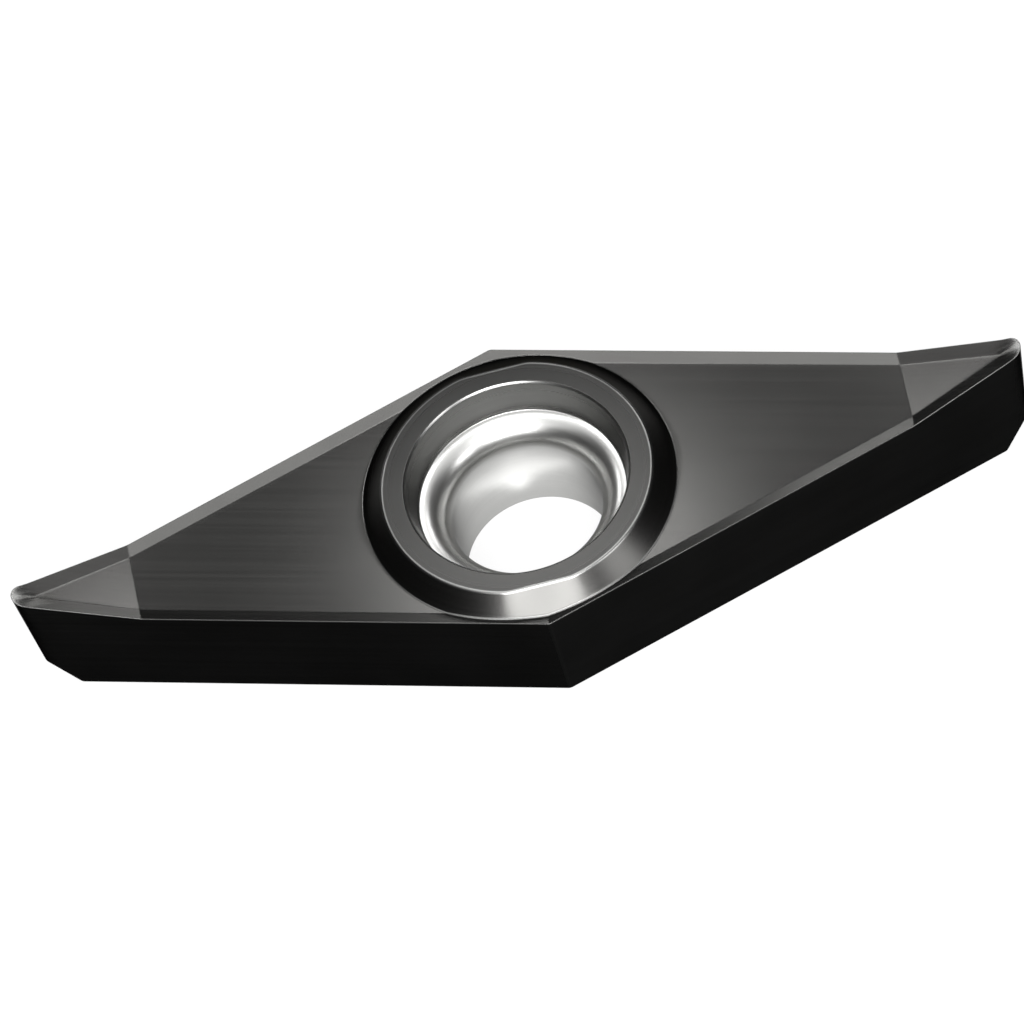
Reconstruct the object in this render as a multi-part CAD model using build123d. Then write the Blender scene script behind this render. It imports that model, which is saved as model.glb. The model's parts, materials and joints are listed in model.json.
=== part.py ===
from build123d import *

import os
from math import atan, atan2, cos, degrees, radians, sin, sqrt, tan

# Carbide turning insert of the 35 degree diamond shape, in millimetres.
# The origin is on the screw hole's axis at the seat face. +Z points to the
# rake side and +X runs along the long diagonal, from corner to corner.

# Outline and thickness
inscribed_circle = 9.525
corner_angle = 35.0
corner_height = 4.76
corner_rise = 0.79
relief_angle = 5.0
corner_radius = 0.4
heel_radius = 0.25

# Undercut at the lower end of each cutting corner
undercut_height = 1.32
undercut_angle = 32.0

# Rake side: sunk floor, land along the cutting edges and raised corners
floor_depth = 0.09
land_width = 0.38
floor_nose_radius = 0.05
raised_length = 3.49

# Hub round the screw hole, with a flat towards each heel
hub_height = 0.46
hub_edge_gap = 0.12
hub_slope_angle = 41.0
hub_flat_length = 1.9
hub_flat_blend = 1.2
hub_edge_round = 0.09
hub_foot_round = 0.09
hub_rim_width = 0.69

# Screw hole: conical wall, rounded seat for the screw's head and plain bore
hole_diameter = 4.4
mouth_chamfer = 0.06
wall_angle = 12.0
wall_depth = 1.08

# Slopes and levels that follow from the sizes above
half_angle = radians(corner_angle / 2)
relief_slope = tan(radians(relief_angle))
undercut_lean = tan(radians(undercut_angle))
land_slope = floor_depth / land_width
edge_height = corner_height - corner_rise
floor_level = edge_height - floor_depth
hub_top_level = edge_height + hub_height
blank_top_level = corner_height + floor_depth


def flank_distance(level):
    """Return how far the flanks are from the hole's axis at a level."""
    return inscribed_circle / 2 - (corner_height - level) * relief_slope


# The cutting corner and the floor's corner, along the long diagonal
nose_centre = (inscribed_circle / 2 - corner_radius) / sin(half_angle)
nose_tip = nose_centre + corner_radius
fold_distance = nose_tip - raised_length
land_distance = flank_distance(edge_height) - land_width
floor_tip = (land_distance - floor_nose_radius) / sin(half_angle) + floor_nose_radius

# The undercut starts on the nose's ridge and has left the nose at its axis
undercut_nose_radius = corner_radius - (corner_height - undercut_height) * relief_slope
undercut_foot = nose_centre + undercut_nose_radius - undercut_height * undercut_lean
nose_end_level = undercut_height - undercut_nose_radius / undercut_lean

# The hub's foot leaves the gap to the cutting edges, and the hole the rim
hub_foot_radius = flank_distance(edge_height) - hub_edge_gap
hub_top_radius = hub_foot_radius - (hub_top_level - floor_level) / tan(radians(hub_slope_angle))
mouth_radius = hub_top_radius - hub_rim_width
hole_radius = hole_diameter / 2
wall_foot_level = hub_top_level - wall_depth
wall_foot_radius = mouth_radius - (wall_depth - mouth_chamfer) * tan(radians(wall_angle))
seat_round = wall_foot_radius - hole_radius
bore_length = wall_foot_level - seat_round


def diamond(distance, corner_round=0.0):
    """Return the diamond whose sides lie at a distance from the centre."""
    half_length = distance / sin(half_angle)
    half_width = distance / cos(half_angle)
    outline = Polygon(
        (half_length, 0), (0, half_width), (-half_length, 0), (0, -half_width), align=None
    )
    if corner_round > 0:
        corners = outline.vertices().sort_by(Axis.X)
        outline = fillet([corners[0], corners[-1]], corner_round)
    return outline


def relieved_block(level, depth, corner_round=0.0):
    """Return the diamond prism below a level, which narrows by the relief angle."""
    outline = Plane.XY.offset(level) * diamond(flank_distance(level), corner_round)
    return extrude(outline, amount=depth, dir=(0, 0, -1), taper=relief_angle)


def make_undercuts():
    """Return the wedges that take away the lower end of both noses."""
    reach = inscribed_circle
    profile = Plane.XZ * Polygon(
        (undercut_foot, 0),
        (undercut_foot + reach, 0),
        (undercut_foot + reach, reach / undercut_lean),
        align=None,
    )
    wedge = extrude(profile, amount=reach, both=True)
    return wedge + mirror(wedge, about=Plane.YZ)


def make_blank():
    """Return the relieved block with conical noses and undercut ends."""
    blank_corner_radius = corner_radius + (blank_top_level - corner_height) * relief_slope
    upper = relieved_block(blank_top_level, blank_top_level - nose_end_level, blank_corner_radius)
    lower = relieved_block(nose_end_level, nose_end_level)
    block = lower + upper - make_undercuts()
    heels = block.edges().filter_by(lambda edge: edge.length > edge_height / 2)
    heels = heels.filter_by(lambda edge: abs(edge.center().X) < heel_radius)
    return fillet(heels, heel_radius)


def space_over_floor():
    """Return all space above the level floor and the straight lands."""
    depth = blank_top_level - floor_level
    rim = diamond(land_distance + depth / land_slope)
    floor = Plane.XY.offset(floor_level) * diamond(land_distance)
    return loft([floor, Plane.XY.offset(blank_top_level) * rim], ruled=True)


def corner_tilt():
    """Return the angle of the raised floor that takes its land to the corner height."""
    run = floor_tip - fold_distance
    land = nose_tip - floor_tip
    rise = corner_height - floor_level
    square = run * land_slope
    linear = run + land + rise * land_slope
    constant = rise - land * land_slope
    return atan((linear - sqrt(linear ** 2 - 4 * square * constant)) / (2 * square))


def pointed_wedge(apex, back, side_angle, point_round):
    """Return the long wedge with its rounded point on +X."""
    half_width = (apex - back) * tan(side_angle)
    outline = Polygon((apex, 0), (back, half_width), (back, -half_width), align=None)
    return fillet(outline.vertices().sort_by(Axis.X)[-1], point_round)


def space_over_raised_corner():
    """Return all space above the tilted floor and land of the corner on +X."""
    tilt = corner_tilt()
    floor_plane = Plane(
        origin=(fold_distance, 0, floor_level),
        x_dir=(cos(tilt), 0, sin(tilt)),
        z_dir=(-sin(tilt), 0, cos(tilt)),
    )
    side_angle = atan(tan(half_angle) * cos(tilt))
    apex = (land_distance / sin(half_angle) - fold_distance) / cos(tilt)
    back = -(fold_distance + 2 * nose_tip)
    depth = inscribed_circle
    spread = depth / land_slope
    rim_apex = apex + spread / sin(side_angle)
    floor = pointed_wedge(apex, back, side_angle, floor_nose_radius)
    rim = pointed_wedge(rim_apex, back - spread, side_angle, floor_nose_radius + spread)
    return loft([floor_plane * floor, floor_plane.offset(depth) * rim], ruled=True)


def make_dish():
    """Return the space over the whole rake side, bounded by floor, lands and corners."""
    raised = space_over_raised_corner()
    return space_over_floor() & raised & mirror(raised, about=Plane.YZ)


def make_hub():
    """Return the hub on its base: a cone frustum whose top has two blended flats."""
    flat_distance = sqrt(hub_top_radius ** 2 - (hub_flat_length / 2) ** 2)
    top = Circle(hub_top_radius) & Rectangle(2 * hub_top_radius, 2 * flat_distance)
    top = fillet(top.vertices(), hub_flat_blend)
    corners = sorted(degrees(atan2(vertex.Y, vertex.X)) for vertex in top.vertices())
    turns = [after - before for before, after in zip(corners, corners[1:] + [corners[0] + 360])]
    arcs = [CenterArc((0, 0), hub_foot_radius, start, turn) for start, turn in zip(corners, turns)]
    foot = Plane.XY.offset(floor_level) * make_face(arcs)
    hub = loft([foot, Plane.XY.offset(hub_top_level) * top], ruled=True)
    hub = fillet(hub.faces().sort_by(Axis.Z)[-1].edges(), hub_edge_round)
    base_radius = hub_foot_radius + hub_foot_round
    hub += extrude(Plane.XY.offset(floor_level) * Circle(base_radius), amount=-floor_depth)
    level_edges = hub.edges().filter_by_position(Axis.Z, floor_level, floor_level)
    foot_edges = level_edges.filter_by(lambda edge: edge.radius < base_radius - hub_foot_round / 2)
    return fillet(foot_edges, hub_foot_round)


def make_hole():
    """Return the screw hole: chamfered mouth, conical wall, rounded seat and bore."""
    bore_top = (hole_radius, bore_length)
    wall_foot = (wall_foot_radius, wall_foot_level)
    below_seat = Polyline((0, 0), (hole_radius, 0), bore_top)
    seat = RadiusArc(bore_top, wall_foot, seat_round)
    above_seat = Polyline(
        wall_foot,
        (mouth_radius, hub_top_level - mouth_chamfer),
        (mouth_radius + mouth_chamfer, hub_top_level),
        (0, hub_top_level),
        (0, 0),
    )
    return revolve(Plane.XZ * make_face([below_seat, seat, above_seat]), axis=Axis.Z)


def make_insert():
    """Return the whole insert as one solid."""
    return make_blank() - (make_dish() - make_hub()) - make_hole()


insert = make_insert()
insert.label = "carbide_insert"
os.makedirs("parts", exist_ok=True)
export_step(insert, "parts/carbide_insert.step")
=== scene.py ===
"""Studio scene of a carbide turning insert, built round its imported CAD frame."""

from __future__ import annotations

import json
import logging
from dataclasses import dataclass, field
from enum import Enum
from math import atan, cos, pi, radians, sin, sqrt, tan

import bpy
import numpy as np
from mathutils import Matrix, Vector

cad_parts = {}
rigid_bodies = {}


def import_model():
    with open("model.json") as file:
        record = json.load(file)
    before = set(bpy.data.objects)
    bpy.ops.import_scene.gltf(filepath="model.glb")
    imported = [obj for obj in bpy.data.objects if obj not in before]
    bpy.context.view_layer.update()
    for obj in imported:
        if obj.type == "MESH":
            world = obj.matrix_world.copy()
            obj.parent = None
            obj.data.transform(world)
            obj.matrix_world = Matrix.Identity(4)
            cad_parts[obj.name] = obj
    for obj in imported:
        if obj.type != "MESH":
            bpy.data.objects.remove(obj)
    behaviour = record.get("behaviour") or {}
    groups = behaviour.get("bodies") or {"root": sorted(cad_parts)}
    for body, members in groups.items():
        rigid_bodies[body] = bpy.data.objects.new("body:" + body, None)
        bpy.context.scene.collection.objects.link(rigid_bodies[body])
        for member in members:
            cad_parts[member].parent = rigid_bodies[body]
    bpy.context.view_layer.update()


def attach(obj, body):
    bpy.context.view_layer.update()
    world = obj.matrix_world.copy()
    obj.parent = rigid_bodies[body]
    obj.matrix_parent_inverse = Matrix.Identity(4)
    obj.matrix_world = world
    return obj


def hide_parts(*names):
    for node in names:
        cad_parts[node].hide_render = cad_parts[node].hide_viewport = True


log = logging.getLogger("carbide_insert")

MILLIMETRE = 0.001
INSERT_NODE = "carbide_insert"
ROUND_OFF = 1e-9
STEEPEST_TURN = 1.5
WHITE = (1.0, 1.0, 1.0, 1.0)


def soft_max(first: np.ndarray, second: np.ndarray, width: float) -> np.ndarray:
    """Return the larger of two heights, with the crease between them rounded.

    The result is the maximum plus h squared times a quarter of the width,
    where h falls from one at the crease to zero where the heights differ by
    the width.

    Args:
        first: Heights of the first surface.
        second: Heights of the second surface.
        width: Height difference at which the rounding ends.

    Returns:
        The rounded maximum, in the units of the heights.
    """
    near = np.clip(1.0 - np.abs(first - second) / width, 0.0, 1.0)
    return np.maximum(first, second) + near**2 * width / 4


def soft_min(first: np.ndarray, second: np.ndarray, width: float) -> np.ndarray:
    """Return the smaller of two values with a rounded crease, as soft_max mirrored."""
    return -soft_max(-first, -second, width)


def between(
    start: np.ndarray, end: np.ndarray, shares: tuple[float, ...]
) -> list[np.ndarray]:
    """Return the values that divide the way from start to end at the given shares."""
    return [start + (end - start) * share for share in shares]


@dataclass(frozen=True)
class ProfilePoint:
    """One station of the section: radius and height for every direction.

    Attributes:
        radius: Distance from the hole's axis, one value per direction.
        height: Height above the seat face, one value per direction.
    """

    radius: np.ndarray
    height: np.ndarray

    def unit_to(self, other: "ProfilePoint") -> "ProfilePoint":
        """Return the unit direction from this point to another one.

        Args:
            other: The point to look towards.

        Returns:
            Its radius and height less this point's, divided by their length.
        """
        run, rise = other.radius - self.radius, other.height - self.height
        length = np.maximum(np.hypot(run, rise), ROUND_OFF)
        return ProfilePoint(run / length, rise / length)


def rounded_corner(
    before: ProfilePoint, corner: ProfilePoint, after: ProfilePoint, radius: float, steps: int
) -> list[ProfilePoint]:
    """Return the stations of an arc that rounds one corner of the section.

    The arc is a rational quadratic curve: its end points lie the tangent
    length, radius times the tangent of half the turn, from the corner, and
    the corner weighs the cosine of half the turn, which makes it a circle.

    Args:
        before: A point on the straight run before the corner.
        corner: The sharp corner.
        after: A point on the straight run after the corner.
        radius: Radius of the rounding in millimetres.
        steps: Number of steps along the arc.

    Returns:
        The steps + 1 stations from tangent point to tangent point.
    """
    back, ahead = corner.unit_to(before), corner.unit_to(after)
    cosine = -(back.radius * ahead.radius + back.height * ahead.height)
    half_turn = np.arccos(np.clip(cosine, -1.0, 1.0)) / 2
    tangent = radius * np.tan(half_turn)
    weight = np.cos(half_turn)
    stations = []
    for share in np.linspace(0.0, 1.0, steps + 1):
        first, middle, last = (1 - share) ** 2, 2 * share * (1 - share) * weight, share**2
        total = first + middle + last
        reach = (first * back.radius + last * ahead.radius) * tangent / total
        lift = (first * back.height + last * ahead.height) * tangent / total
        stations.append(ProfilePoint(corner.radius + reach, corner.height + lift))
    return stations


class Run(Enum):
    """The runs of the section, up through the hole, out over the top and down to the seat."""

    LOWER_MOUTH = "lower_mouth"
    BORE = "bore"
    SEAT = "seat"
    WALL_FOOT = "wall_foot"
    WALL = "wall"
    MOUTH = "mouth"
    LIP = "lip"
    TOP = "top"
    BROW = "brow"
    SLOPE = "slope"
    COVE = "cove"
    RAKE = "rake"
    HONE = "hone"
    FLANK = "flank"
    LOWER_EDGE = "lower_edge"
    SEAT_FACE = "seat_face"


Section = dict[Run, list[ProfilePoint]]


@dataclass(frozen=True)
class DiamondOutline:
    """The relieved diamond outline: conical noses, rounded heels and undercut ends.

    Attributes:
        inscribed_circle: Diameter of the inscribed circle at the corner height.
        half_angle: Half of the cutting corner's angle in radians.
        corner_height: Height of the cutting corners.
        relief: Inward run of the flanks per unit of depth.
        corner_radius: Nose radius at the corner height.
        heel_radius: Rounding of the obtuse heels.
        undercut_foot: Reach of the noses at the seat face.
        undercut_lean: Outward run of the undercut per unit of height.
        undercut_crease: Rounding between undercut and flank.
        sharp_radius: Least radius of a corner that is inset.
    """

    inscribed_circle: float = 9.525
    half_angle: float = radians(17.5)
    corner_height: float = 4.76
    relief: float = tan(radians(5.0))
    corner_radius: float = 0.4
    heel_radius: float = 0.25
    undercut_foot: float = 13.78174
    undercut_lean: float = tan(radians(32.0))
    undercut_crease: float = 0.008
    sharp_radius: float = 0.001
    UNDERCUT_SEARCH = (0.6, 1.4)
    SEARCH_STEPS = 12

    def side_distance(self, height: np.ndarray) -> np.ndarray:
        """Return how far the flanks are from the axis at a height."""
        return self.inscribed_circle / 2 - (self.corner_height - height) * self.relief

    def rounded_diamond(
        self, turn: np.ndarray, side: np.ndarray, nose: np.ndarray, heel: float
    ) -> np.ndarray:
        """Return the polar radius of a diamond with rounded corners.

        A side lies at side / sin(half angle + turn). A corner is a circle of
        the nose's or heel's radius that touches both its sides, met by the
        ray at c cos(turn) + sqrt(radius squared - (c sin(turn)) squared),
        where c is how far the circle's centre is out.

        Args:
            turn: Direction folded into the first quadrant, in radians.
            side: Distance of the sides from the axis.
            nose: Radius of the long corners.
            heel: Radius of the short corners.

        Returns:
            The radius of the outline in each direction.
        """
        sine, cosine = sin(self.half_angle), cos(self.half_angle)
        radius = side / np.sin(self.half_angle + turn)
        centre = (side - nose) / sine
        reach = centre * np.cos(turn) + np.sqrt(
            np.maximum(nose**2 - (centre * np.sin(turn)) ** 2, 0.0)
        )
        nose_end = np.arctan2(nose * cosine, centre + nose * sine)
        radius = np.where(turn < nose_end, reach, radius)
        centre = (side - heel) / cosine
        reach = centre * np.sin(turn) + np.sqrt(
            np.maximum(heel**2 - (centre * np.cos(turn)) ** 2, 0.0)
        )
        heel_start = np.arctan2(centre + heel * cosine, heel * sine)
        return np.where(turn > heel_start, reach, radius)

    def flank(self, turn: np.ndarray, height: np.ndarray, inset: float = 0.0) -> np.ndarray:
        """Return the polar radius of the flanks above the undercut at a height.

        The side distance and the nose's radius both shrink by the relief
        times the depth below the corner height, and by the inset.

        Args:
            turn: Direction folded into the first quadrant, in radians.
            height: Height above the seat face, one for each direction.
            inset: How far inside the flank, square to it.

        Returns:
            The radius in each direction.
        """
        side = self.side_distance(height) - inset
        nose = self.corner_radius - (self.corner_height - height) * self.relief - inset
        heel = max(self.heel_radius - inset, self.sharp_radius)
        return self.rounded_diamond(turn, side, np.maximum(nose, self.sharp_radius), heel)

    def undercut(self, turn: np.ndarray, height: np.ndarray, inset: float = 0.0) -> np.ndarray:
        """Return the polar radius of the plane that cuts the noses' lower end."""
        reach = self.undercut_foot + height * self.undercut_lean - inset
        return reach / np.cos(np.minimum(turn, STEEPEST_TURN))

    def wall(self, turn: np.ndarray, height: np.ndarray, inset: float = 0.0) -> np.ndarray:
        """Return the polar radius of the whole outer wall at a height."""
        flank = self.flank(turn, height, inset)
        return soft_min(flank, self.undercut(turn, height, inset), self.undercut_crease)

    def undercut_height(self, turn: np.ndarray) -> np.ndarray:
        """Return where the undercut meets the flank, found by repeated steps.

        Each step divides the flank's reach past the undercut's foot, along
        the long diagonal, by the undercut's lean.

        Args:
            turn: Direction folded into the first quadrant, in radians.

        Returns:
            The height of the meeting in each direction.
        """
        first, highest = self.UNDERCUT_SEARCH
        height = np.full_like(turn, first)
        for _ in range(self.SEARCH_STEPS):
            reach = self.flank(turn, height) * np.cos(turn)
            height = np.clip((reach - self.undercut_foot) / self.undercut_lean, 0.0, highest)
        return height


@dataclass(frozen=True)
class RakeSide:
    """The rake side: sunk floor, land along the edges and the raised corners.

    Attributes:
        outline: The diamond outline that bounds it.
        edge_height: Height of the main cutting edges.
        floor_depth: Depth of the floor below them.
        land_width: Width of the sloping land.
        floor_nose_radius: Rounding of the raised floor's point.
        raised_length: Length of a raised corner along the long diagonal.
        crease: Height difference over which the folds are rounded.
        fold_lean: How far the fold line leans in where it crosses the land.
    """

    outline: DiamondOutline = field(default_factory=DiamondOutline)
    edge_height: float = 3.97
    floor_depth: float = 0.09
    land_width: float = 0.38
    floor_nose_radius: float = 0.05
    raised_length: float = 3.49
    crease: float = 0.005
    fold_lean: float = 0.0165
    SHARP_HEEL = 1e-4
    HEIGHT_STEPS = 5
    FOLD_STEPS = 3

    @property
    def floor_height(self) -> float:
        """Height of the level floor."""
        return self.edge_height - self.floor_depth

    @property
    def land_slope(self) -> float:
        """Rise of the land per unit of its width."""
        return self.floor_depth / self.land_width

    @property
    def land_distance(self) -> float:
        """Distance of the land's foot from the axis, square to the edges."""
        return float(self.outline.side_distance(self.edge_height)) - self.land_width

    @property
    def nose_tip(self) -> float:
        """Reach of the nose along the long diagonal."""
        body = self.outline
        centre = (body.inscribed_circle / 2 - body.corner_radius) / sin(body.half_angle)
        return centre + body.corner_radius

    @property
    def fold_distance(self) -> float:
        """Distance of the fold line from the axis."""
        return self.nose_tip - self.raised_length

    @property
    def floor_centre(self) -> float:
        """Centre of the raised floor's rounded point on the long diagonal."""
        return (self.land_distance - self.floor_nose_radius) / sin(self.outline.half_angle)

    @property
    def tilt(self) -> float:
        """Angle of the raised floor, which takes its land to the corner height.

        With t its tangent, the floor rises to its tip by run times t, and
        the land from there to the nose by its run times (t + slope) divided
        by (1 - slope times t). Both together are the rise to the corner
        height, a quadratic in t, of which this is the smaller root.
        """
        slope = self.land_slope
        tip = self.floor_centre + self.floor_nose_radius
        run, land = tip - self.fold_distance, self.nose_tip - tip
        rise = self.outline.corner_height - self.floor_height
        linear = run + land + rise * slope
        root = sqrt(linear**2 - 4 * run * slope * (rise - land * slope))
        return atan((linear - root) / (2 * run * slope))

    def level_height(self, x: np.ndarray, y: np.ndarray) -> np.ndarray:
        """Return the height of the level floor and its land.

        The land rises by its slope times the distance past the land's foot,
        where distance is |x| sin(half angle) + |y| cos(half angle).

        Args:
            x: Place along the long diagonal.
            y: Place across it.

        Returns:
            The height at each place.
        """
        half = self.outline.half_angle
        distance = np.abs(x) * sin(half) + np.abs(y) * cos(half)
        land = self.floor_height + self.land_slope * (distance - self.land_distance)
        return soft_max(np.full_like(land, self.floor_height), land, self.crease)

    def raised_height(self, x: np.ndarray, y: np.ndarray) -> np.ndarray:
        """Return the height of the tilted corner's floor and land.

        In the tilted plane the floor is a wedge with a rounded point, and the
        land rises square to that plane by its slope times the distance
        outside the wedge. The height enters the distance, so it is found by
        a few repeated steps.

        Args:
            x: Place along the long diagonal.
            y: Place across it.

        Returns:
            The height at each place.
        """
        tilt, half = self.tilt, self.outline.half_angle
        side = atan(tan(half) * cos(tilt))
        apex = (self.land_distance / sin(half) - self.fold_distance) / cos(tilt)
        centre = apex - self.floor_nose_radius / sin(side)
        run = np.abs(x) - self.fold_distance
        floor = self.floor_height + run * tan(tilt)
        height = floor
        for _ in range(self.HEIGHT_STEPS):
            along = run * cos(tilt) + (height - self.floor_height) * sin(tilt) - centre
            off_side = along * sin(side) + np.abs(y) * cos(side)
            off_point = np.hypot(along, y)
            at_point = np.arctan2(np.abs(y), along) < pi / 2 - side
            outside = np.where(at_point, off_point, off_side) - self.floor_nose_radius
            land = self.floor_height + (self.land_slope * outside + run * sin(tilt)) / cos(tilt)
            height = soft_max(floor, land, self.crease)
        return height

    def height(self, x: np.ndarray, y: np.ndarray) -> np.ndarray:
        """Return the height of the whole rake side: the higher of its two parts."""
        return soft_max(self.level_height(x, y), self.raised_height(x, y), self.crease)

    def polar_height(self, turn: np.ndarray, radius: np.ndarray) -> np.ndarray:
        """Return the height at a polar place."""
        return self.height(radius * np.cos(turn), radius * np.sin(turn))

    def fold_radius(self, turn: np.ndarray) -> np.ndarray:
        """Return the polar radius of the fold line, which leans in over the land.

        It is the fold distance less the lean, divided by cos(turn). The lean
        grows in proportion to the way across the land, which depends on the
        radius, so it is found by a few repeated steps.

        Args:
            turn: Direction folded into the first quadrant, in radians.

        Returns:
            The radius in each direction.
        """
        cosine = np.cos(np.minimum(turn, STEEPEST_TURN))
        radius = self.fold_distance / cosine
        half = self.outline.half_angle
        for _ in range(self.FOLD_STEPS):
            past = radius * np.sin(half + turn) - self.land_distance
            lean = self.fold_lean * np.clip(past / self.land_width, 0.0, 1.0)
            radius = (self.fold_distance - lean) / cosine
        return radius

    def land_radius(self, turn: np.ndarray) -> np.ndarray:
        """Return the polar radius of the land's foot, rounded at the corner's point.

        Args:
            turn: Direction folded into the first quadrant, in radians.

        Returns:
            The radius in each direction.
        """
        distance = np.full_like(turn, self.land_distance)
        nose = np.full_like(turn, self.floor_nose_radius)
        return self.outline.rounded_diamond(turn, distance, nose, self.SHARP_HEEL)


@dataclass(frozen=True)
class ClampingHub:
    """The hub round the hole: a frustum with a blended flat towards each heel.

    Attributes:
        rake: The rake side that it stands on.
        height: Height of its top above the cutting edges.
        edge_gap: Gap between its foot and the cutting edges.
        slope_angle: Angle of its side in radians.
        flat_length: Length of the flats before they are blended.
        flat_blend: Radius of the blend between flat and circle.
        edge_round: Radius of the rounding along its top edge.
        foot_round: Radius of the cove along its foot.
    """

    rake: RakeSide = field(default_factory=RakeSide)
    height: float = 0.46
    edge_gap: float = 0.12
    slope_angle: float = radians(41.0)
    flat_length: float = 1.9
    flat_blend: float = 1.2
    edge_round: float = 0.09
    foot_round: float = 0.09
    FOOT_STEPS = 10

    @property
    def top_height(self) -> float:
        """Height of the hub's top above the seat face."""
        return self.rake.edge_height + self.height

    @property
    def foot_radius(self) -> float:
        """Radius of the hub's foot on the level floor."""
        edge = float(self.rake.outline.side_distance(self.rake.edge_height))
        return edge - self.edge_gap

    @property
    def top_radius(self) -> float:
        """Radius of the hub's round top outline."""
        rise = self.top_height - self.rake.floor_height
        return self.foot_radius - rise / tan(self.slope_angle)

    def top_outline(self, turn: np.ndarray) -> np.ndarray:
        """Return the polar radius of the top outline.

        It is a circle, then a blend circle that touches it from inside and
        the flat, then the flat, which lies at flat distance / sin(turn).

        Args:
            turn: Direction folded into the first quadrant, in radians.

        Returns:
            The radius in each direction.
        """
        flat = sqrt(self.top_radius**2 - (self.flat_length / 2) ** 2)
        inner, level = self.top_radius - self.flat_blend, flat - self.flat_blend
        offset = sqrt(inner**2 - level**2)
        across = offset * np.sin(turn) - level * np.cos(turn)
        along = offset * np.cos(turn) + level * np.sin(turn)
        blend = along + np.sqrt(np.maximum(self.flat_blend**2 - across**2, 0.0))
        circle = np.full_like(turn, self.top_radius)
        start, end = np.arctan2(level, offset), np.arctan2(flat, offset)
        straight = flat / np.sin(np.maximum(turn, start))
        return np.where(turn < start, circle, np.where(turn < end, blend, straight))

    def side_height(self, turn: np.ndarray, radius: np.ndarray) -> np.ndarray:
        """Return the height of the sloping side, a straight run from foot to top outline.

        Args:
            turn: Direction folded into the first quadrant, in radians.
            radius: Radius of the place on the side, one for each direction.

        Returns:
            The height in each direction.
        """
        rise = self.top_height - self.rake.floor_height
        share = (self.foot_radius - radius) / (self.foot_radius - self.top_outline(turn))
        return self.rake.floor_height + rise * share

    def foot_meeting(self, turn: np.ndarray) -> ProfilePoint:
        """Return where the side meets the floor or the land, found by repeated steps.

        Each step takes the rake side's height at the last radius and goes up
        the side to it.

        Args:
            turn: Direction folded into the first quadrant, in radians.

        Returns:
            The meeting's radius and height in each direction.
        """
        run = self.foot_radius - self.top_outline(turn)
        rise = self.top_height - self.rake.floor_height
        radius = np.full_like(turn, self.foot_radius)
        for _ in range(self.FOOT_STEPS):
            lift = self.rake.polar_height(turn, radius) - self.rake.floor_height
            radius = self.foot_radius - lift * run / rise
        return ProfilePoint(radius, self.rake.polar_height(turn, radius))


@dataclass(frozen=True)
class ScrewHole:
    """The screw hole: chamfered mouth, conical wall, rounded seat and plain bore.

    Attributes:
        hub: The hub that the hole opens into.
        diameter: Diameter of the plain bore.
        rim_width: Width of the hub's top round the mouth.
        mouth_chamfer: Width of the chamfer at the mouth.
        wall_angle: Angle of the wall from the axis in radians.
        wall_depth: Depth of the wall's foot below the hub's top.
        edge_round: Rounding of the hole's edges.
    """

    hub: ClampingHub = field(default_factory=ClampingHub)
    diameter: float = 4.4
    rim_width: float = 0.69
    mouth_chamfer: float = 0.06
    wall_angle: float = radians(12.0)
    wall_depth: float = 1.08
    edge_round: float = 0.03
    BORE_START = (0.05, 0.1)
    BORE_MIDDLE = 0.35
    BORE_STEPS = 8
    SEAT_STEPS = 20
    LOWER_MOUTH_STEPS = 4
    ROUND_STEPS = 3
    WALL_SHARES = (0.07, 0.2, 0.4, 0.6, 0.8, 0.93)

    @property
    def mouth_radius(self) -> float:
        """Radius of the wall's upper end, below the chamfer."""
        return self.hub.top_radius - self.rim_width

    @property
    def wall_foot(self) -> tuple[float, float]:
        """Radius and height of the wall's lower end, where the seat begins."""
        run = (self.wall_depth - self.mouth_chamfer) * tan(self.wall_angle)
        return self.mouth_radius - run, self.hub.top_height - self.wall_depth

    def section(self, turn: np.ndarray) -> Section:
        """Return the section from the bore's lower end up to the mouth's outer edge.

        The seat is a quarter circle: its centre lies straight below the
        wall's foot, it leaves the bore upright and ends level.

        Args:
            turn: Direction folded into the first quadrant, in radians.

        Returns:
            The stations of each run, in order, going up.
        """

        def point(radius: float, height: float) -> ProfilePoint:
            """Return a station that is the same in every direction."""
            return ProfilePoint(np.full_like(turn, radius), np.full_like(turn, height))

        bore = self.diameter / 2
        foot_radius, foot_height = self.wall_foot
        seat = foot_radius - bore
        top = self.hub.top_height
        lower_edge, straight_up = point(bore, 0.0), point(bore, foot_height)
        mouth = point(self.mouth_radius, top - self.mouth_chamfer)
        lip = point(self.mouth_radius + self.mouth_chamfer, top)
        wall_foot = point(foot_radius, foot_height)
        level_out, level_in = point(foot_radius, 0.0), point(bore, foot_height)
        on_top = point(self.hub.top_radius, top)
        heights = [*self.BORE_START]
        heights += np.linspace(self.BORE_MIDDLE, foot_height - seat, self.BORE_STEPS).tolist()
        angles = np.linspace(0.0, pi / 2, self.SEAT_STEPS + 1)[1:-1]
        wall = [
            ProfilePoint(
                wall_foot.radius + (mouth.radius - wall_foot.radius) * share,
                wall_foot.height + (mouth.height - wall_foot.height) * share,
            )
            for share in self.WALL_SHARES
        ]
        size, steps = self.edge_round, self.ROUND_STEPS
        return {
            Run.LOWER_MOUTH: rounded_corner(
                level_out, lower_edge, straight_up, size, self.LOWER_MOUTH_STEPS
            ),
            Run.BORE: [point(bore, height) for height in heights],
            Run.SEAT: [
                point(foot_radius - seat * cos(angle), foot_height - seat + seat * sin(angle))
                for angle in angles
            ],
            Run.WALL_FOOT: rounded_corner(level_in, wall_foot, mouth, size, steps),
            Run.WALL: wall,
            Run.MOUTH: rounded_corner(wall_foot, mouth, lip, size, steps),
            Run.LIP: rounded_corner(mouth, lip, on_top, size, steps),
        }


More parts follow.
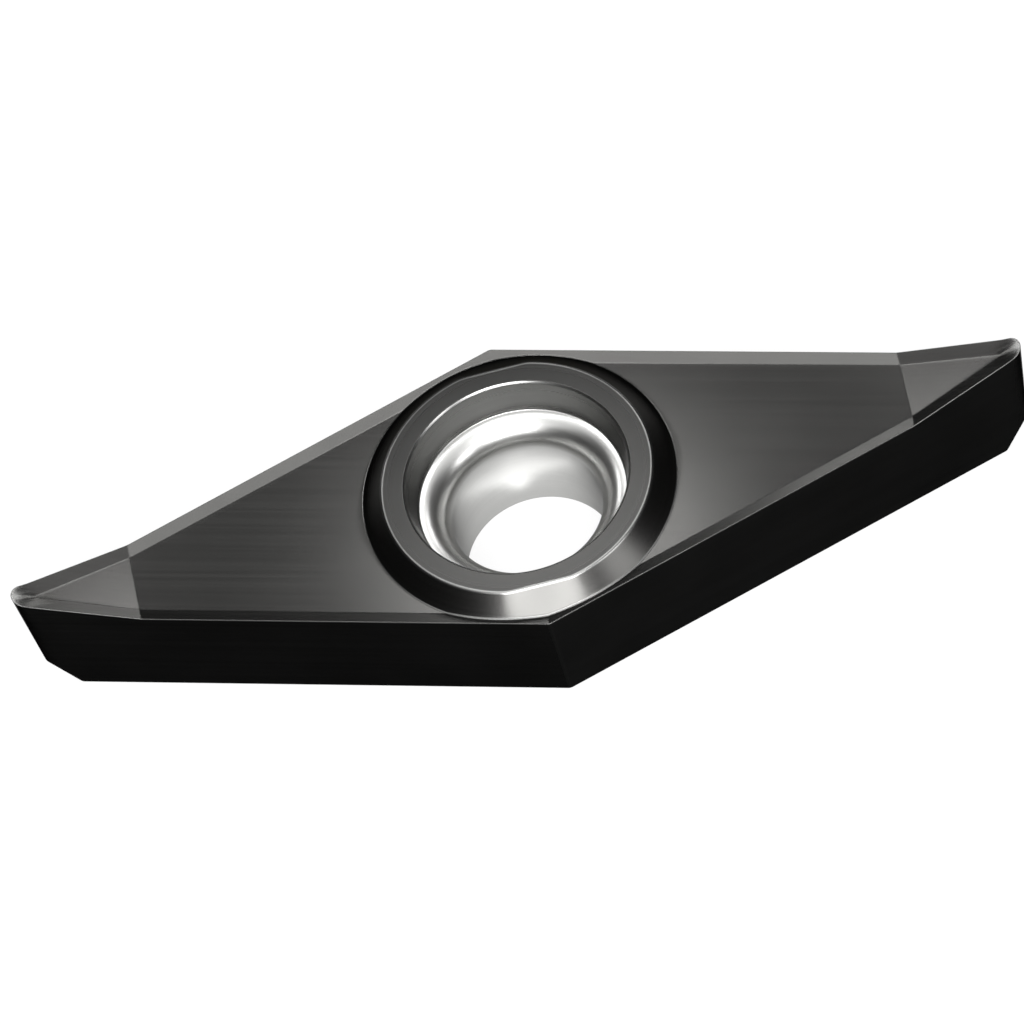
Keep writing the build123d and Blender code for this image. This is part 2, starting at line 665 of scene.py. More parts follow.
class Mask(Enum):
    """Point attributes that say how far a point belongs to a surface with its own finish; some also
    carry painted shade and painted highlight.
    """

    BARE = "bare_carbide"
    RIM = "polished_rim"
    TURNED = "turned"
    # Ground flanks: real ground marks and roughness, and a darker colour that is painted shade
    GROUND = "ground_flank_and_painted_shade"
    # Brighter edges: partly edge wear, partly painted highlight on edges, the hub's foot and the
    # nose tips
    EDGE = "edge_wear_and_painted_highlight"


@dataclass(frozen=True)
class InsertBody:
    """The whole insert as one closed surface round the screw hole.

    Attributes:
        hole: The screw hole, which carries the sizes of all other forms.
        hone: Rounding of the cutting edges.
        lower_round: Rounding of the lower edges.
        wall_bareness: How bare the hole's wall is, with the rest of the hole as one.
        brow_wear_and_highlight: How much brighter the hub's top edge is coloured, for edge wear and
            as painted highlight.
        cove_painted_highlight: How much brighter the cove along the hub's foot is coloured, a
            painted highlight.
        hone_wear_and_highlight: How much brighter the cutting edges are coloured, for edge wear and
            as painted highlight.
        nose_painted_highlight: How much brighter the tips of the noses are coloured, a painted
            highlight.
    """

    hole: ScrewHole = field(default_factory=ScrewHole)
    hone: float = 0.022
    lower_round: float = 0.03
    wall_bareness: float = 0.6
    # Brighter edge colours: edge wear with painted highlight, and painted highlight alone at the
    # cove and nose tips
    brow_wear_and_highlight: float = 1.0
    cove_painted_highlight: float = 0.8
    hone_wear_and_highlight: float = 0.25
    # Painted highlight on the nose tips
    nose_painted_highlight: float = 0.6

    # Start, end and count of the directions: along the nose's arc, and by themselves
    NOSE_ARC = (0.0, 72.5, 19)
    DIRECTION_SPANS = (
        (0.0, 0.19, 7),
        (0.19, 0.673, 9),
        (1.494, 4.6, 16),
        (4.6, 6.65, 13),
        (6.65, 12.0, 13),
        (12.0, 72.0, 61),
        (72.0, 80.0, 13),
        (80.0, 88.9, 13),
        (88.9, 90.0, 8),
    )
    LEAST_TURN = 0.012

    # Places of the stations along their runs, as shares of the way
    TOP_SHARES = (0.0, 0.04, 0.2, 0.4, 0.6, 0.8, 0.96, 1.0)
    SLOPE_SHARES = (0.09, 0.2, 0.4, 0.6, 0.8, 0.9)
    FLOOR_SHARES = (0.0, 0.03, 0.1, 0.25, 0.45, 0.65, 0.82, 0.93, 1.0)
    MIDDLE_SHARES = (0.1, 0.3, 0.5, 0.7, 0.9, 1.0)
    LAND_SHARES = (0.15, 0.5, 0.8, 0.94)
    FLANK_SHARES = (0.15, 0.35, 0.55, 0.75, 0.92, 1.0)
    UNDERCUT_SHARES = (0.3, 0.6, 0.9)
    SEAT_FACE_SHARES = (0.004, 0.03, 0.15, 0.35, 0.6, 0.85, 0.97, 0.99)

    # Stations round a crease, in widths of it, its width in millimetres, the share of a
    # short run that it may take up, and the shares of the reserve that hold both in the run
    CREASE_STEPS = (-1.0, -0.5, 0.0, 0.5, 1.0, 2.0)
    CREASE_WIDTH = 0.02
    CREASE_SHARE = 0.3
    HOLD_IN = (0.2, 0.4)
    HOLD_OUT = (0.15, 0.2)

    # Distances along the section in millimetres
    LEAST_FLOOR = 0.03
    TOP_MARGIN = 0.09
    LAND_RESERVE = 0.06
    BELOW_HONE = (0.03, 0.1)
    CORNER_RANGE = (0.12, 1.5)

    # Numbers of steps
    EDGE_SEARCH_STEPS = 8
    HUB_ROUND_STEPS = 5
    HONE_ANGLES = np.linspace(0.0, pi / 2, 6).tolist()
    LOWER_ANGLES = np.linspace(0.0, pi / 2, 5).tolist()

    # The nose's painted highlight per corner radius that a point lies out from the tip
    NOSE_FADE = (1.4, 1.6)

    def directions(self) -> np.ndarray:
        """Return the directions of one quadrant, closest together where the outline bends.

        Along the nose they follow equal steps of its arc, at the raised
        floor's point and the undercut's corner equal small steps, and
        elsewhere they widen towards the straight flanks.

        Returns:
            The directions from 0 to a quarter turn, in radians.
        """
        outline = self.hole.hub.rake.outline
        centre = self.hole.hub.rake.nose_tip - outline.corner_radius
        arc = np.radians(np.linspace(*self.NOSE_ARC))
        across, out = outline.corner_radius * np.sin(arc), outline.corner_radius * np.cos(arc)
        nose = np.degrees(np.arctan2(across, centre + out))
        spans = [np.linspace(*span) for span in self.DIRECTION_SPANS]
        found = np.unique(np.round(np.concatenate([nose, *spans]), 3))
        keep = np.concatenate([[True], np.diff(found) > self.LEAST_TURN])
        return np.radians(found[keep])

    def hone_start(self, turn: np.ndarray) -> np.ndarray:
        """Return where the rake side ends and the hone begins, found by repeated steps.

        Each step takes the flank, inset by the hone, at the last height, and
        then the rake side's height there.

        Args:
            turn: Direction folded into the first quadrant, in radians.

        Returns:
            The radius in each direction.
        """
        rake = self.hole.hub.rake
        height = np.full_like(turn, rake.edge_height)
        for _ in range(self.EDGE_SEARCH_STEPS):
            radius = rake.outline.flank(turn, height, self.hone)
            height = rake.polar_height(turn, radius)
        return radius

    def rake_radii(self, turn: np.ndarray, inner: np.ndarray) -> list[np.ndarray]:
        """Return the radii of the stations from the hub's cove to the hone.

        They crowd round two creases: the fold and the land's foot, in the
        order in which each direction meets them, held inside the run.

        Args:
            turn: Direction folded into the first quadrant, in radians.
            inner: Radius of the cove's outer end.

        Returns:
            The radii in order, going outwards.
        """
        rake, hone = self.hole.hub.rake, self.hone_start(turn)
        start = np.minimum(inner, hone - self.LEAST_FLOOR)
        fold, land = rake.fold_radius(turn), rake.land_radius(turn)
        reserve = np.minimum(hone - start, self.LAND_RESERVE)
        low, high = (share * reserve for share in self.HOLD_IN)
        first = np.clip(np.minimum(fold, land), start + low, hone - high)
        low, high = (share * reserve for share in self.HOLD_OUT)
        second = np.clip(np.maximum(fold, land), first + low, hone - high)
        gap = second - first
        near = self.CREASE_SHARE * np.minimum(first - start, gap)
        far = self.CREASE_SHARE * np.minimum(gap, hone - second)
        near, far = (np.minimum(self.CREASE_WIDTH, width) for width in (near, far))
        radii = between(start, first - 2 * near, self.FLOOR_SHARES)
        radii += [first + near * step for step in self.CREASE_STEPS]
        radii += between(first + 2 * near, second - 2 * far, self.MIDDLE_SHARES)
        radii += [second + far * step for step in self.CREASE_STEPS]
        return radii + between(second + 2 * far, hone, self.LAND_SHARES)

    def rake_section(self, turn: np.ndarray) -> Section:
        """Return the section from the hub's top edge over the rake side to the hone.

        Args:
            turn: Direction folded into the first quadrant, in radians.

        Returns:
            The stations of each run, in order, going outwards.
        """
        hub, rake = self.hole.hub, self.hole.hub.rake
        lip = np.full_like(turn, self.hole.mouth_radius + self.hole.mouth_chamfer)
        top = np.full_like(turn, hub.top_height)
        brow = ProfilePoint(hub.top_outline(turn), top)
        meeting = hub.foot_meeting(turn)
        beyond = meeting.radius + self.CREASE_WIDTH
        ahead = ProfilePoint(beyond, rake.polar_height(turn, beyond))
        steps = self.HUB_ROUND_STEPS
        cove = rounded_corner(brow, meeting, ahead, hub.foot_round, steps)
        level = brow.radius - lip - self.TOP_MARGIN
        slope = between(brow.radius, meeting.radius, self.SLOPE_SHARES)
        radii = self.rake_radii(turn, cove[-1].radius)
        return {
            Run.TOP: [
                ProfilePoint(lip + self.hole.edge_round + level * share, top)
                for share in self.TOP_SHARES
            ],
            Run.BROW: rounded_corner(
                ProfilePoint(lip, top), brow, meeting, hub.edge_round, steps
            ),
            Run.SLOPE: [ProfilePoint(radius, hub.side_height(turn, radius)) for radius in slope],
            Run.COVE: cove[:-1],
            Run.RAKE: [ProfilePoint(radius, rake.polar_height(turn, radius)) for radius in radii],
        }

    def outer_section(self, turn: np.ndarray) -> Section:
        """Return the section from the hone down the flank and back to the bore.

        The hone runs over a quarter turn a: it is inset by its size times
        1 - sin(a) and drops by its size times 1 - cos(a). The lower edge is
        inset by its size times 1 - cos(a) and lifted by it times 1 - sin(a).

        Args:
            turn: Direction folded into the first quadrant, in radians.

        Returns:
            The stations of each run, in order, going down and then inwards.
        """
        rake = self.hole.hub.rake
        outline = rake.outline
        edge = np.full_like(turn, rake.edge_height)
        for _ in range(self.EDGE_SEARCH_STEPS):
            edge = rake.polar_height(turn, outline.flank(turn, edge))
        hone = []
        for angle in self.HONE_ANGLES:
            inset, drop = self.hone * (1 - sin(angle)), self.hone * (1 - cos(angle))
            radius = outline.wall(turn, edge - drop, inset)
            surface = np.minimum(rake.polar_height(turn, radius), edge)
            hone.append(ProfilePoint(radius, surface - drop))
        start, end = edge - self.hone, np.full_like(turn, self.lower_round)
        corner = np.clip(outline.undercut_height(turn), *self.CORNER_RANGE)
        width = self.CREASE_WIDTH
        heights = [start - drop for drop in self.BELOW_HONE]
        heights += between(heights[-1], corner + 2 * width, self.FLANK_SHARES)
        heights += [corner - width * step for step in self.CREASE_STEPS]
        heights += between(corner - 2 * width, end, self.UNDERCUT_SHARES)
        zero = np.zeros_like(turn)
        lower = []
        for angle in self.LOWER_ANGLES:
            inset, lift = self.lower_round * (1 - cos(angle)), self.lower_round * (1 - sin(angle))
            lower.append(ProfilePoint(outline.wall(turn, zero + lift, inset), zero + lift))
        inner = np.full_like(turn, self.hole.diameter / 2 + self.lower_round)
        radii = between(lower[-1].radius, inner, self.SEAT_FACE_SHARES)
        return {
            Run.HONE: hone,
            Run.FLANK: [ProfilePoint(outline.wall(turn, height), height) for height in heights],
            Run.LOWER_EDGE: lower,
            Run.SEAT_FACE: [ProfilePoint(radius, zero) for radius in radii],
        }

    def masks(self, section: Section, radius: np.ndarray) -> dict[Mask, np.ndarray]:
        """Return how far each point belongs to the surfaces with their own finish, painted shade
        and painted highlight.

        A finish begins or ends within the rounding between its neighbours,
        a few stations on from where the rounding's run starts.
        The painted highlight at the tip grows with the radius over the last part of the nose.

        Args:
            section: The stations of all runs.
            radius: Radius of each point, direction by station.

        Returns:
            For each mask its values, by station or direction by station.
        """
        counts = np.cumsum([0, *(len(run) for run in section.values())])
        start = dict(zip(section, counts.tolist()))
        order = np.arange(counts[-1])

        def within(first: int, end: int) -> np.ndarray:
            """Return which stations lie from the first up to the end."""
            return (order >= first) & (order < end)

        rake = self.hole.hub.rake
        rim, flank = start[Run.LIP] + 1, start[Run.HONE] + 3
        reach = (radius - rake.nose_tip) / rake.outline.corner_radius
        # Painted highlight on the nose tips, growing towards the tip
        nose = np.clip(self.NOSE_FADE[0] + self.NOSE_FADE[1] * reach, 0.0, 1.0)
        # Brighter colour on the hub's top edge, its foot's cove and the cutting edges: partly edge
        # wear, partly painted highlight
        edge_wear_and_highlight = self.brow_wear_and_highlight * within(start[Run.BROW], start[Run.SLOPE])
        edge_wear_and_highlight = edge_wear_and_highlight + self.cove_painted_highlight * within(start[Run.COVE] + 1, start[Run.COVE] + 4)
        edge_wear_and_highlight = edge_wear_and_highlight + self.hone_wear_and_highlight * within(start[Run.HONE] + 1, start[Run.FLANK])
        bare = np.where(order < start[Run.WALL_FOOT] + 2, 1.0, self.wall_bareness)
        return {
            Mask.BARE: bare * within(0, rim),
            Mask.RIM: within(rim, start[Run.BROW] + 3),
            Mask.TURNED: within(0, start[Run.COVE] + 2),
            Mask.GROUND: within(flank, start[Run.SEAT_FACE]),
            Mask.EDGE: np.maximum(edge_wear_and_highlight, self.nose_painted_highlight * nose * within(0, flank)),
        }

    def surface(self) -> tuple[np.ndarray, dict[Mask, np.ndarray]]:
        """Return the closed surface's points and the finish masks.

        The surface is a function of direction and station. Each station's
        radius and height are worked out for one quadrant and repeated with
        the insert's two planes of symmetry, and x, y are the radius times
        the direction's cosine and sine.

        Returns:
            The points in millimetres, shaped direction by station by three,
            and for each mask how far a station or a point belongs to it.
        """
        first = self.directions()
        whole = np.concatenate([first, pi - first[-2::-1], pi + first[1:], 2 * pi - first[-2:0:-1]])
        folded = np.arctan2(np.abs(np.sin(whole)), np.abs(np.cos(whole)))
        section = (
            self.hole.section(folded) | self.rake_section(folded) | self.outer_section(folded)
        )
        stations = [station for run in section.values() for station in run]
        radius = np.stack([station.radius for station in stations], axis=1)
        height = np.stack([station.height for station in stations], axis=1)
        points = np.stack(
            [radius * np.cos(whole)[:, None], radius * np.sin(whole)[:, None], height], axis=2
        )
        return points, self.masks(section, radius)

    def build(self) -> bpy.types.Object:
        """Build the insert's mesh object.

        Returns:
            The mesh object, in metres, with its finish masks as attributes.
        """
        points, masks = self.surface()
        turns, stations = points.shape[:2]
        first = np.arange(turns)[:, None]
        column = np.arange(stations)[None, :]
        after, beyond = (first + 1) % turns, (column + 1) % stations
        quads = np.stack(
            [
                first * stations + column,
                first * stations + beyond,
                after * stations + beyond,
                after * stations + column,
            ],
            axis=2,
        ).reshape(-1, 4)
        mesh = bpy.data.meshes.new("turning_insert")
        mesh.from_pydata((points.reshape(-1, 3) * MILLIMETRE).tolist(), [], quads.tolist())
        for mask, belonging in masks.items():
            layer = mesh.attributes.new(mask.value, "FLOAT", "POINT")
            values = np.broadcast_to(belonging, (turns, stations)).astype(np.float32)
            layer.data.foreach_set("value", values.ravel())
        mesh.polygons.foreach_set("use_smooth", np.ones(len(mesh.polygons), dtype=bool))
        mesh.update()
        piece = bpy.data.objects.new("turning_insert", mesh)
        bpy.context.scene.collection.objects.link(piece)
        return piece


class NodeSheet:
    """A short way to write a material's node tree."""

    def __init__(self, name: str) -> None:
        """Start an empty material.

        Args:
            name: The material's name.
        """
        self.material = bpy.data.materials.new(name)
        self.material.use_nodes = True
        self.tree = self.material.node_tree
        self.tree.nodes.clear()

    def add(self, kind: str, inputs: dict[str | int, object], **settings: object) -> bpy.types.Node:
        """Add a node, set its properties and fill or link its inputs.

        Args:
            kind: The node type's name without its ShaderNode prefix.
            inputs: For each input a plain value or the output to link to it.
            **settings: Properties of the node.

        Returns:
            The new node.
        """
        made = self.tree.nodes.new(f"ShaderNode{kind}")
        for setting, value in settings.items():
            setattr(made, setting, value)
        for socket, value in inputs.items():
            if isinstance(value, bpy.types.NodeSocket):
                self.tree.links.new(value, made.inputs[socket])
            else:
                made.inputs[socket].default_value = value
        return made

    def math(self, operation: str, *values: object) -> bpy.types.NodeSocket:
        """Return the result of a math node on the given values or outputs."""
        return self.add("Math", dict(enumerate(values)), operation=operation).outputs[0]

    def span(
        self, value: bpy.types.NodeSocket, source: tuple[float, float], target: tuple[float, float]
    ) -> bpy.types.NodeSocket:
        """Return a value stretched from its source range onto a target range and held there.

        Args:
            value: The output to stretch.
            source: Its lowest and highest value.
            target: The lowest and highest value of the result.

        Returns:
            The output of the stretched value.
        """
        inputs = {
            "Value": value,
            "From Min": source[0],
            "From Max": source[1],
            "To Min": target[0],
            "To Max": target[1],
        }
        return self.add("MapRange", inputs).outputs[0]

    def mix(self, share: object, first: object, second: object) -> bpy.types.NodeSocket:
        """Return the mix of two numbers."""
        return self.add("Mix", {0: share, 2: first, 3: second}, data_type="FLOAT").outputs[0]

    def mix_colours(self, share: object, first: object, second: object) -> bpy.types.NodeSocket:
        """Return the mix of two colours.

        Args:
            share: Share of the second colour, as an output or a number.
            first: The first colour, as an output or a triple.
            second: The second colour, as an output or a triple.

        Returns:
            The output of the mixed colour.
        """
        colours = [(*c, 1.0) if isinstance(c, tuple) else c for c in (first, second)]
        inputs = {0: share, 6: colours[0], 7: colours[1]}
        return self.add("Mix", inputs, data_type="RGBA").outputs[2]

    def attribute(self, name: str) -> bpy.types.NodeSocket:
        """Return the value of a point attribute."""
        return self.add("Attribute", {}, attribute_name=name).outputs["Fac"]


@dataclass(frozen=True)
class Surface:
    """Colour and roughness of one surface.

    Attributes:
        colour: Reflection seen square on.
        roughness: Mean roughness.
    """

    colour: tuple[float, float, float]
    roughness: float


@dataclass(frozen=True)
class CoatedCarbideFinish:
    """Dark hard coating on ground carbide, with bare bright carbide inside the hole.

    Attributes:
        rake: The coated rake side and seat face.
        flank: The coated flanks, coloured darker than the rake as painted shade.
        rim: The polished top of the hub.
        bare: The hole.
        edge_colour: Reflection of the brighter edges, seen square on, partly for edge wear and
            partly a painted highlight.
        edge_tint: Reflection near grazing, which keeps the coating dark there.
        lay_angle: Angle between the ground marks and the long diagonal in radians.
        along_scale: Marks per metre along their run.
        across_scale: Marks per metre across their run.
        marks_shade: Darkest and lightest shade of the marks.
        marks_roughness: Least and most roughness that the marks add.
        marks_strength: Strength of the marks' bump.
        marks_depth: Depth of the marks in metres.
        cloud_scale: Clouds of coating thickness per metre.
        cloud_shade: Darkest and lightest shade of the clouds.
    """

    rake: Surface = Surface((0.062, 0.0615, 0.0595), 0.26)
    # The flanks' colour is darker than the rake's: painted shade
    flank: Surface = Surface((0.022, 0.022, 0.0218), 0.30)
    rim: Surface = Surface((0.036, 0.0358, 0.0348), 0.28)
    bare: Surface = Surface((0.50, 0.50, 0.49), 0.30)
    # Brighter colour of the edges: partly edge wear, partly painted highlight
    edge_colour: tuple[float, float, float] = (0.22, 0.22, 0.216)
    edge_tint: tuple[float, float, float] = (0.3, 0.3, 0.3)
    lay_angle: float = radians(17.5)
    along_scale: float = 60.0
    across_scale: float = 9000.0
    marks_shade: tuple[float, float] = (0.975, 1.025)
    marks_roughness: tuple[float, float] = (-0.012, 0.012)
    marks_strength: float = 0.05
    marks_depth: float = 0.00001
    cloud_scale: float = 420.0
    cloud_shade: tuple[float, float] = (0.94, 1.06)
    NOISE_RANGE = (0.3, 0.7)

    def marks(
        self, sheet: NodeSheet, turned: bpy.types.NodeSocket, ground: bpy.types.NodeSocket
    ) -> bpy.types.NodeSocket:
        """Return fine tool marks: along one pair of edges where ground, rings where turned.

        Args:
            sheet: The material's node sheet.
            turned: One where the marks run round the hole, zero elsewhere.
            ground: One where the marks keep one height, as on the flanks.

        Returns:
            The height of the marks, from zero to one.
        """
        place = sheet.add("TexCoord", {}).outputs["Object"]
        x, y, z = sheet.add("SeparateXYZ", {0: place}).outputs
        cosine, sine = cos(self.lay_angle), sin(self.lay_angle)
        along = sheet.math(
            "SUBTRACT", sheet.math("MULTIPLY", x, cosine), sheet.math("MULTIPLY", y, sine)
        )
        across = sheet.math(
            "ADD", sheet.math("MULTIPLY", x, sine), sheet.math("MULTIPLY", y, cosine)
        )
        squares = sheet.math("ADD", sheet.math("POWER", x, 2), sheet.math("POWER", y, 2))
        radius = sheet.math("SQRT", squares)
        across = sheet.mix(turned, sheet.mix(ground, across, 0.0), radius)
        upright = sheet.mix(sheet.math("MAXIMUM", turned, ground), 0.0, z)
        vector = sheet.add(
            "CombineXYZ",
            {
                0: sheet.mix(turned, sheet.math("MULTIPLY", along, self.along_scale), 0.0),
                1: sheet.math("MULTIPLY", across, self.across_scale),
                2: sheet.math("MULTIPLY", upright, self.across_scale),
            },
        ).outputs[0]
        noise = {"Vector": vector, "Scale": 1.0, "Detail": 2.0}
        return sheet.add("TexNoise", noise).outputs["Fac"]

    def material(self) -> bpy.types.Material:
        """Return the node material.

        Returns:
            A metallic surface whose colour and roughness follow the finish
            masks, with fine marks and a faint cloud of coating thickness.
        """
        sheet = NodeSheet("coated_carbide_finish")
        bare = sheet.attribute(Mask.BARE.value)
        rim = sheet.attribute(Mask.RIM.value)
        ground = sheet.attribute(Mask.GROUND.value)
        edge = sheet.attribute(Mask.EDGE.value)
        turned = sheet.attribute(Mask.TURNED.value)
        marks = self.marks(sheet, turned, ground)
        place = sheet.add("TexCoord", {}).outputs["Object"]
        noise = {"Vector": place, "Scale": self.cloud_scale, "Detail": 4.0}
        cloud = sheet.add("TexNoise", noise).outputs["Fac"]

        # The flanks take a darker colour than the rake: painted shade
        colour = sheet.mix_colours(ground, self.rake.colour, self.flank.colour)
        colour = sheet.mix_colours(rim, colour, self.rim.colour)
        colour = sheet.mix_colours(bare, colour, self.bare.colour)
        # Edges take a brighter colour: partly edge wear, partly painted highlight
        colour = sheet.mix_colours(edge, colour, self.edge_colour)
        shade = sheet.math(
            "MULTIPLY",
            sheet.span(cloud, self.NOISE_RANGE, self.cloud_shade),
            sheet.span(marks, self.NOISE_RANGE, self.marks_shade),
        )
        tone = sheet.add("VectorMath", {0: colour, "Scale": shade}, operation="SCALE").outputs[0]

        rough = sheet.mix(ground, self.rake.roughness, self.flank.roughness)
        rough = sheet.mix(rim, rough, self.rim.roughness)
        rough = sheet.mix(bare, rough, self.bare.roughness)
        unevenness = sheet.span(marks, self.NOISE_RANGE, self.marks_roughness)
        rough = sheet.math("ADD", rough, unevenness)

        relief = {
            "Height": marks,
            "Strength": self.marks_strength,
            "Distance": self.marks_depth,
        }
        bump = sheet.add("Bump", relief).outputs[0]
        shader = sheet.add(
            "BsdfPrincipled",
            {
                "Base Color": tone,
                "Metallic": 1.0,
                "Roughness": rough,
                "Specular Tint": (*self.edge_tint, 1.0),
                "Normal": bump,
            },
        )
        sheet.add("OutputMaterial", {"Surface": shader.outputs[0]})
        return sheet.material


@dataclass(frozen=True)
class StudioFloor:
    """The plain pale floor, which fades to white in the picture and in reflections.

    It lies a hair below the insert and is clear from below, so that the seat
    face can be seen.

    Attributes:
        half_size: Half of its side in metres.
        paint: Its colour.
        fade: How far its picture is replaced by plain white.
        gap: How far it lies below the insert in metres.
    """

    half_size: float = 1.5
    paint: tuple[float, float, float] = (0.9, 0.9, 0.9)
    fade: float = 0.85
    gap: float = 0.000005

    def material(self) -> bpy.types.Material:
        """Return the floor's material.

        Returns:
            Matt paint that is mixed with plain white for the rays that show
            the floor, and clear on its lower side.
        """
        sheet = NodeSheet("studio_floor_paint")
        rays = sheet.add("LightPath", {}).outputs
        seen = sheet.math("MAXIMUM", rays["Is Camera Ray"], rays["Is Glossy Ray"])
        seen = sheet.math("MAXIMUM", seen, rays["Is Transmission Ray"])
        paint = sheet.add("BsdfDiffuse", {"Color": (*self.paint, 1.0)}).outputs[0]
        white = sheet.add("Emission", {"Color": WHITE, "Strength": 1.0}).outputs[0]
        share = sheet.math("MULTIPLY", seen, self.fade)
        mixed = sheet.add("MixShader", {0: share, 1: paint, 2: white}).outputs[0]
        below = sheet.add("NewGeometry", {}).outputs["Backfacing"]
        clear = sheet.add("BsdfTransparent", {}).outputs[0]
        whole = sheet.add("MixShader", {0: below, 1: mixed, 2: clear}).outputs[0]
        sheet.add("OutputMaterial", {"Surface": whole})
        return sheet.material

    def build(self) -> bpy.types.Object:
        """Build the floor.

        Returns:
            The floor's object.
        """
        size, low = self.half_size, -self.gap
        mesh = bpy.data.meshes.new("studio_floor")
        corners = [(-size, -size, low), (size, -size, low), (size, size, low), (-size, size, low)]
        mesh.from_pydata(corners, [], [(0, 1, 2, 3)])
        floor = bpy.data.objects.new("studio_floor", mesh)
        bpy.context.scene.collection.objects.link(floor)
        mesh.materials.append(self.material())
        return floor


@dataclass(frozen=True)
class SoftLamp:
    """A rectangular softbox.

    Attributes:
        name: Its name.
        centre: Its place in millimetres.
        size: Its width and height in millimetres.
        brightness: Its brightness, where a white card shows as one.
        aim: The point that it faces, in millimetres.
    """

    name: str
    centre: tuple[float, float, float]
    size: tuple[float, float]
    brightness: float
    aim: tuple[float, float, float] = (0.0, 0.0, 4.0)

    def build(self) -> bpy.types.Object:
        """Build the lamp, turned towards its aim.

        Its power is the brightness times pi and its area.

        Returns:
            The lamp's object.
        """
        width, height = (side * MILLIMETRE for side in self.size)
        away = (Vector(self.centre) - Vector(self.aim)).normalized()
        light = bpy.data.lights.new(self.name, "AREA")
        light.shape = "RECTANGLE"
        light.size, light.size_y = width, height
        light.energy = self.brightness * pi * width * height
        lamp = bpy.data.objects.new(self.name, light)
        lamp.location = Vector(self.centre) * MILLIMETRE
        lamp.rotation_mode = "QUATERNION"
        lamp.rotation_quaternion = away.to_track_quat("Z", "Y")
        lamp.visible_camera = False
        bpy.context.scene.collection.objects.link(lamp)
        return lamp


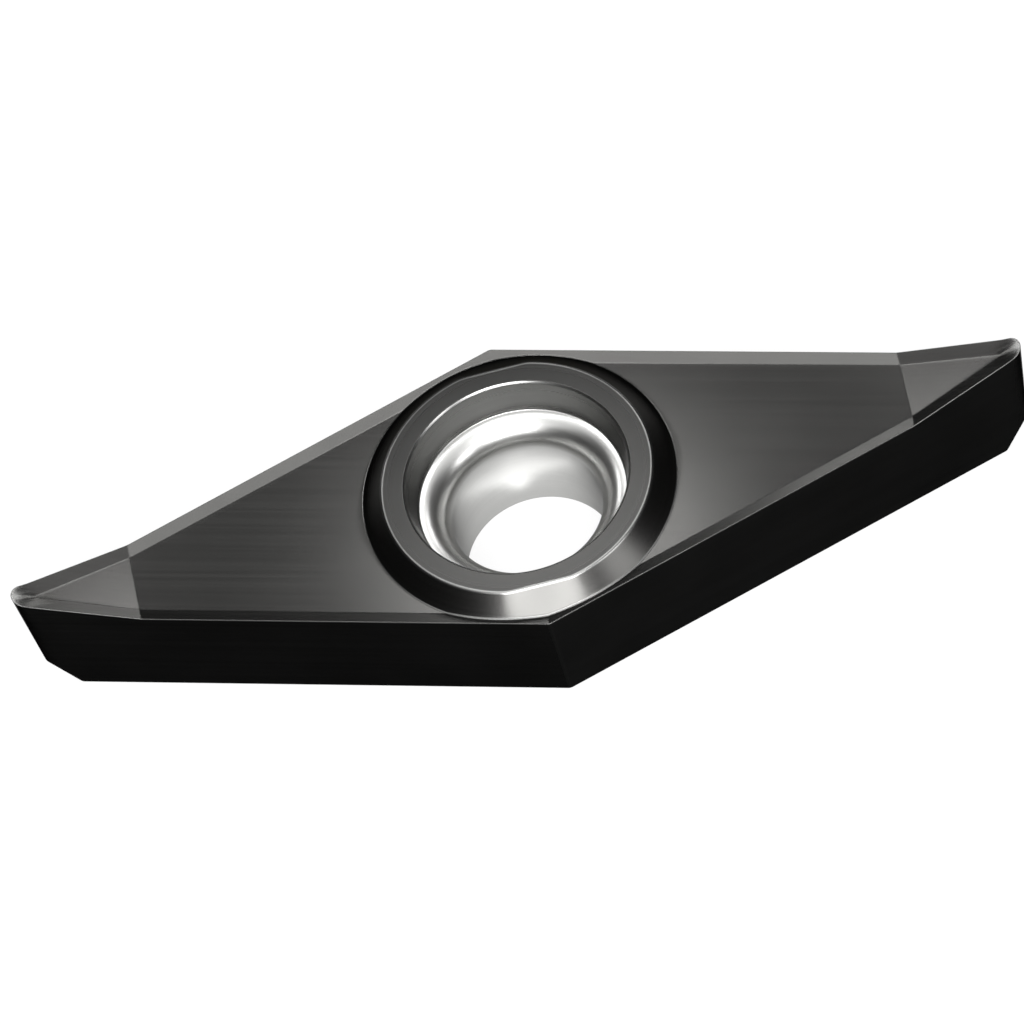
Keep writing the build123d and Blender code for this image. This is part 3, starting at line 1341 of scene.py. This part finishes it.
@dataclass(frozen=True)
class StudioLight:
    """The lamps and the dim room with its paler ceiling.

    Attributes:
        lamps: The softboxes.
        walls: Brightness of the room's walls.
        ceiling: Brightness of its ceiling.
        ceiling_edge: Cosines of the angle to its axis between which they blend.
        ceiling_axis: Direction of the ceiling's middle, a little to the front.
    """

    lamps: tuple[SoftLamp, ...] = (
        SoftLamp("rake_card", (-1.0, 16.8, 32.6), (9.0, 4.0), 14.0),
        SoftLamp("left_nose_card", (17.5, 34.3, 42.4), (6.0, 6.0), 18.0),
        SoftLamp("right_nose_card", (-21.4, 34.3, 38.7), (6.0, 6.0), 18.0),
        SoftLamp("low_back_card", (4.5, 46.0, 31.0), (6.5, 8.0), 8.5),
        SoftLamp("overhead_softbox", (-25.0, 100.0, 490.0), (200.0, 120.0), 3.6),
        SoftLamp("front_softbox", (-10.0, -278.0, 288.0), (270.0, 120.0), 15.0),
        SoftLamp("front_right_softbox", (258.0, -181.0, 250.0), (130.0, 120.0), 6.0),
        SoftLamp("high_front_softbox", (0.0, -225.0, 556.0), (260.0, 260.0), 6.0),
        SoftLamp("light_below_hole", (-0.1, 1.1, 0.03), (0.2, 1.1), 2.6, (-0.1, 1.1, 4.0)),
    )
    walls: float = 0.03
    ceiling: float = 1.2
    ceiling_edge: tuple[float, float] = (0.73, 0.86)
    ceiling_axis: tuple[float, float, float] = (0.0, -0.15, 0.989)

    def room(self) -> bpy.types.World:
        """Return the room.

        Its brightness goes from the walls' to the ceiling's with the cosine
        of the angle between a ray and the ceiling's axis.

        Returns:
            A world with dark walls and a paler ceiling, white in the picture.
        """
        world = bpy.data.worlds.new("studio_room")
        world.use_nodes = True
        nodes, link = world.node_tree.nodes, world.node_tree.links.new
        direction = nodes.new("ShaderNodeTexCoord").outputs["Generated"]
        closeness = nodes.new("ShaderNodeVectorMath")
        closeness.operation = "DOT_PRODUCT"
        closeness.inputs[1].default_value = self.ceiling_axis
        blend = nodes.new("ShaderNodeMapRange")
        blend.interpolation_type = "SMOOTHSTEP"
        blend.inputs["From Min"].default_value = self.ceiling_edge[0]
        blend.inputs["From Max"].default_value = self.ceiling_edge[1]
        blend.inputs["To Min"].default_value = self.walls
        blend.inputs["To Max"].default_value = self.ceiling
        link(direction, closeness.inputs[0])
        link(closeness.outputs["Value"], blend.inputs["Value"])
        seen = nodes.new("ShaderNodeMath")
        seen.operation = "MAXIMUM"
        background = nodes["Background"]
        background.inputs["Color"].default_value = WHITE
        link(blend.outputs[0], seen.inputs[0])
        link(nodes.new("ShaderNodeLightPath").outputs["Is Camera Ray"], seen.inputs[1])
        link(seen.outputs[0], background.inputs["Strength"])
        return world

    def build(self) -> None:
        """Build the lamps and set the room."""
        for lamp in self.lamps:
            lamp.build()
            log.info("lamp %s", lamp.name)
        bpy.context.scene.world = self.room()


@dataclass(frozen=True)
class StudioCamera:
    """The camera at the photograph's viewing angle.

    Attributes:
        centre: Its place in metres.
        right: The picture's rightward direction.
        down: The picture's downward direction.
        focal_length: Its focal length in millimetres.
        sensor_width: Its sensor's width in millimetres.
        clip: Nearest and farthest distance that it sees, in metres.
    """

    centre: tuple[float, float, float] = (0.01537328, -0.20042847, 0.29048824)
    right: tuple[float, float, float] = (0.96915691, -0.17404970, -0.17447519)
    down: tuple[float, float, float] = (-0.24229775, -0.80227032, -0.54557688)
    focal_length: float = 429.22
    sensor_width: float = 36.0
    clip: tuple[float, float] = (0.01, 10.0)

    def build(self) -> bpy.types.Object:
        """Build the camera and make it the scene's camera.

        Returns:
            The camera's object.
        """
        right = Vector(self.right).normalized()
        down = Vector(self.down)
        down = (down - right * down.dot(right)).normalized()
        forward = right.cross(down)
        data = bpy.data.cameras.new("studio_camera")
        data.lens = self.focal_length
        data.sensor_width = self.sensor_width
        data.clip_start, data.clip_end = self.clip
        camera = bpy.data.objects.new("studio_camera", data)
        turn = Matrix((right, -down, -forward)).transposed().to_4x4()
        camera.matrix_world = Matrix.Translation(Vector(self.centre)) @ turn
        bpy.context.scene.collection.objects.link(camera)
        bpy.context.scene.camera = camera
        return camera


def main() -> None:
    """Build the insert, the floor, the lights and the camera in order."""
    logging.basicConfig(level=logging.INFO, format="%(name)s: %(message)s")
    bpy.ops.object.select_all(action="SELECT")
    bpy.ops.object.delete()
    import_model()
    piece = InsertBody().build()
    piece.data.materials.append(CoatedCarbideFinish().material())
    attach(piece, "root")
    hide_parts(INSERT_NODE)
    log.info("piece %s: %d faces", piece.name, len(piece.data.polygons))
    StudioFloor().build()
    StudioLight().build()
    StudioCamera().build()
    bpy.context.scene.view_settings.view_transform = "Standard"
    bpy.context.view_layer.update()


if __name__ == "__main__":
    main()
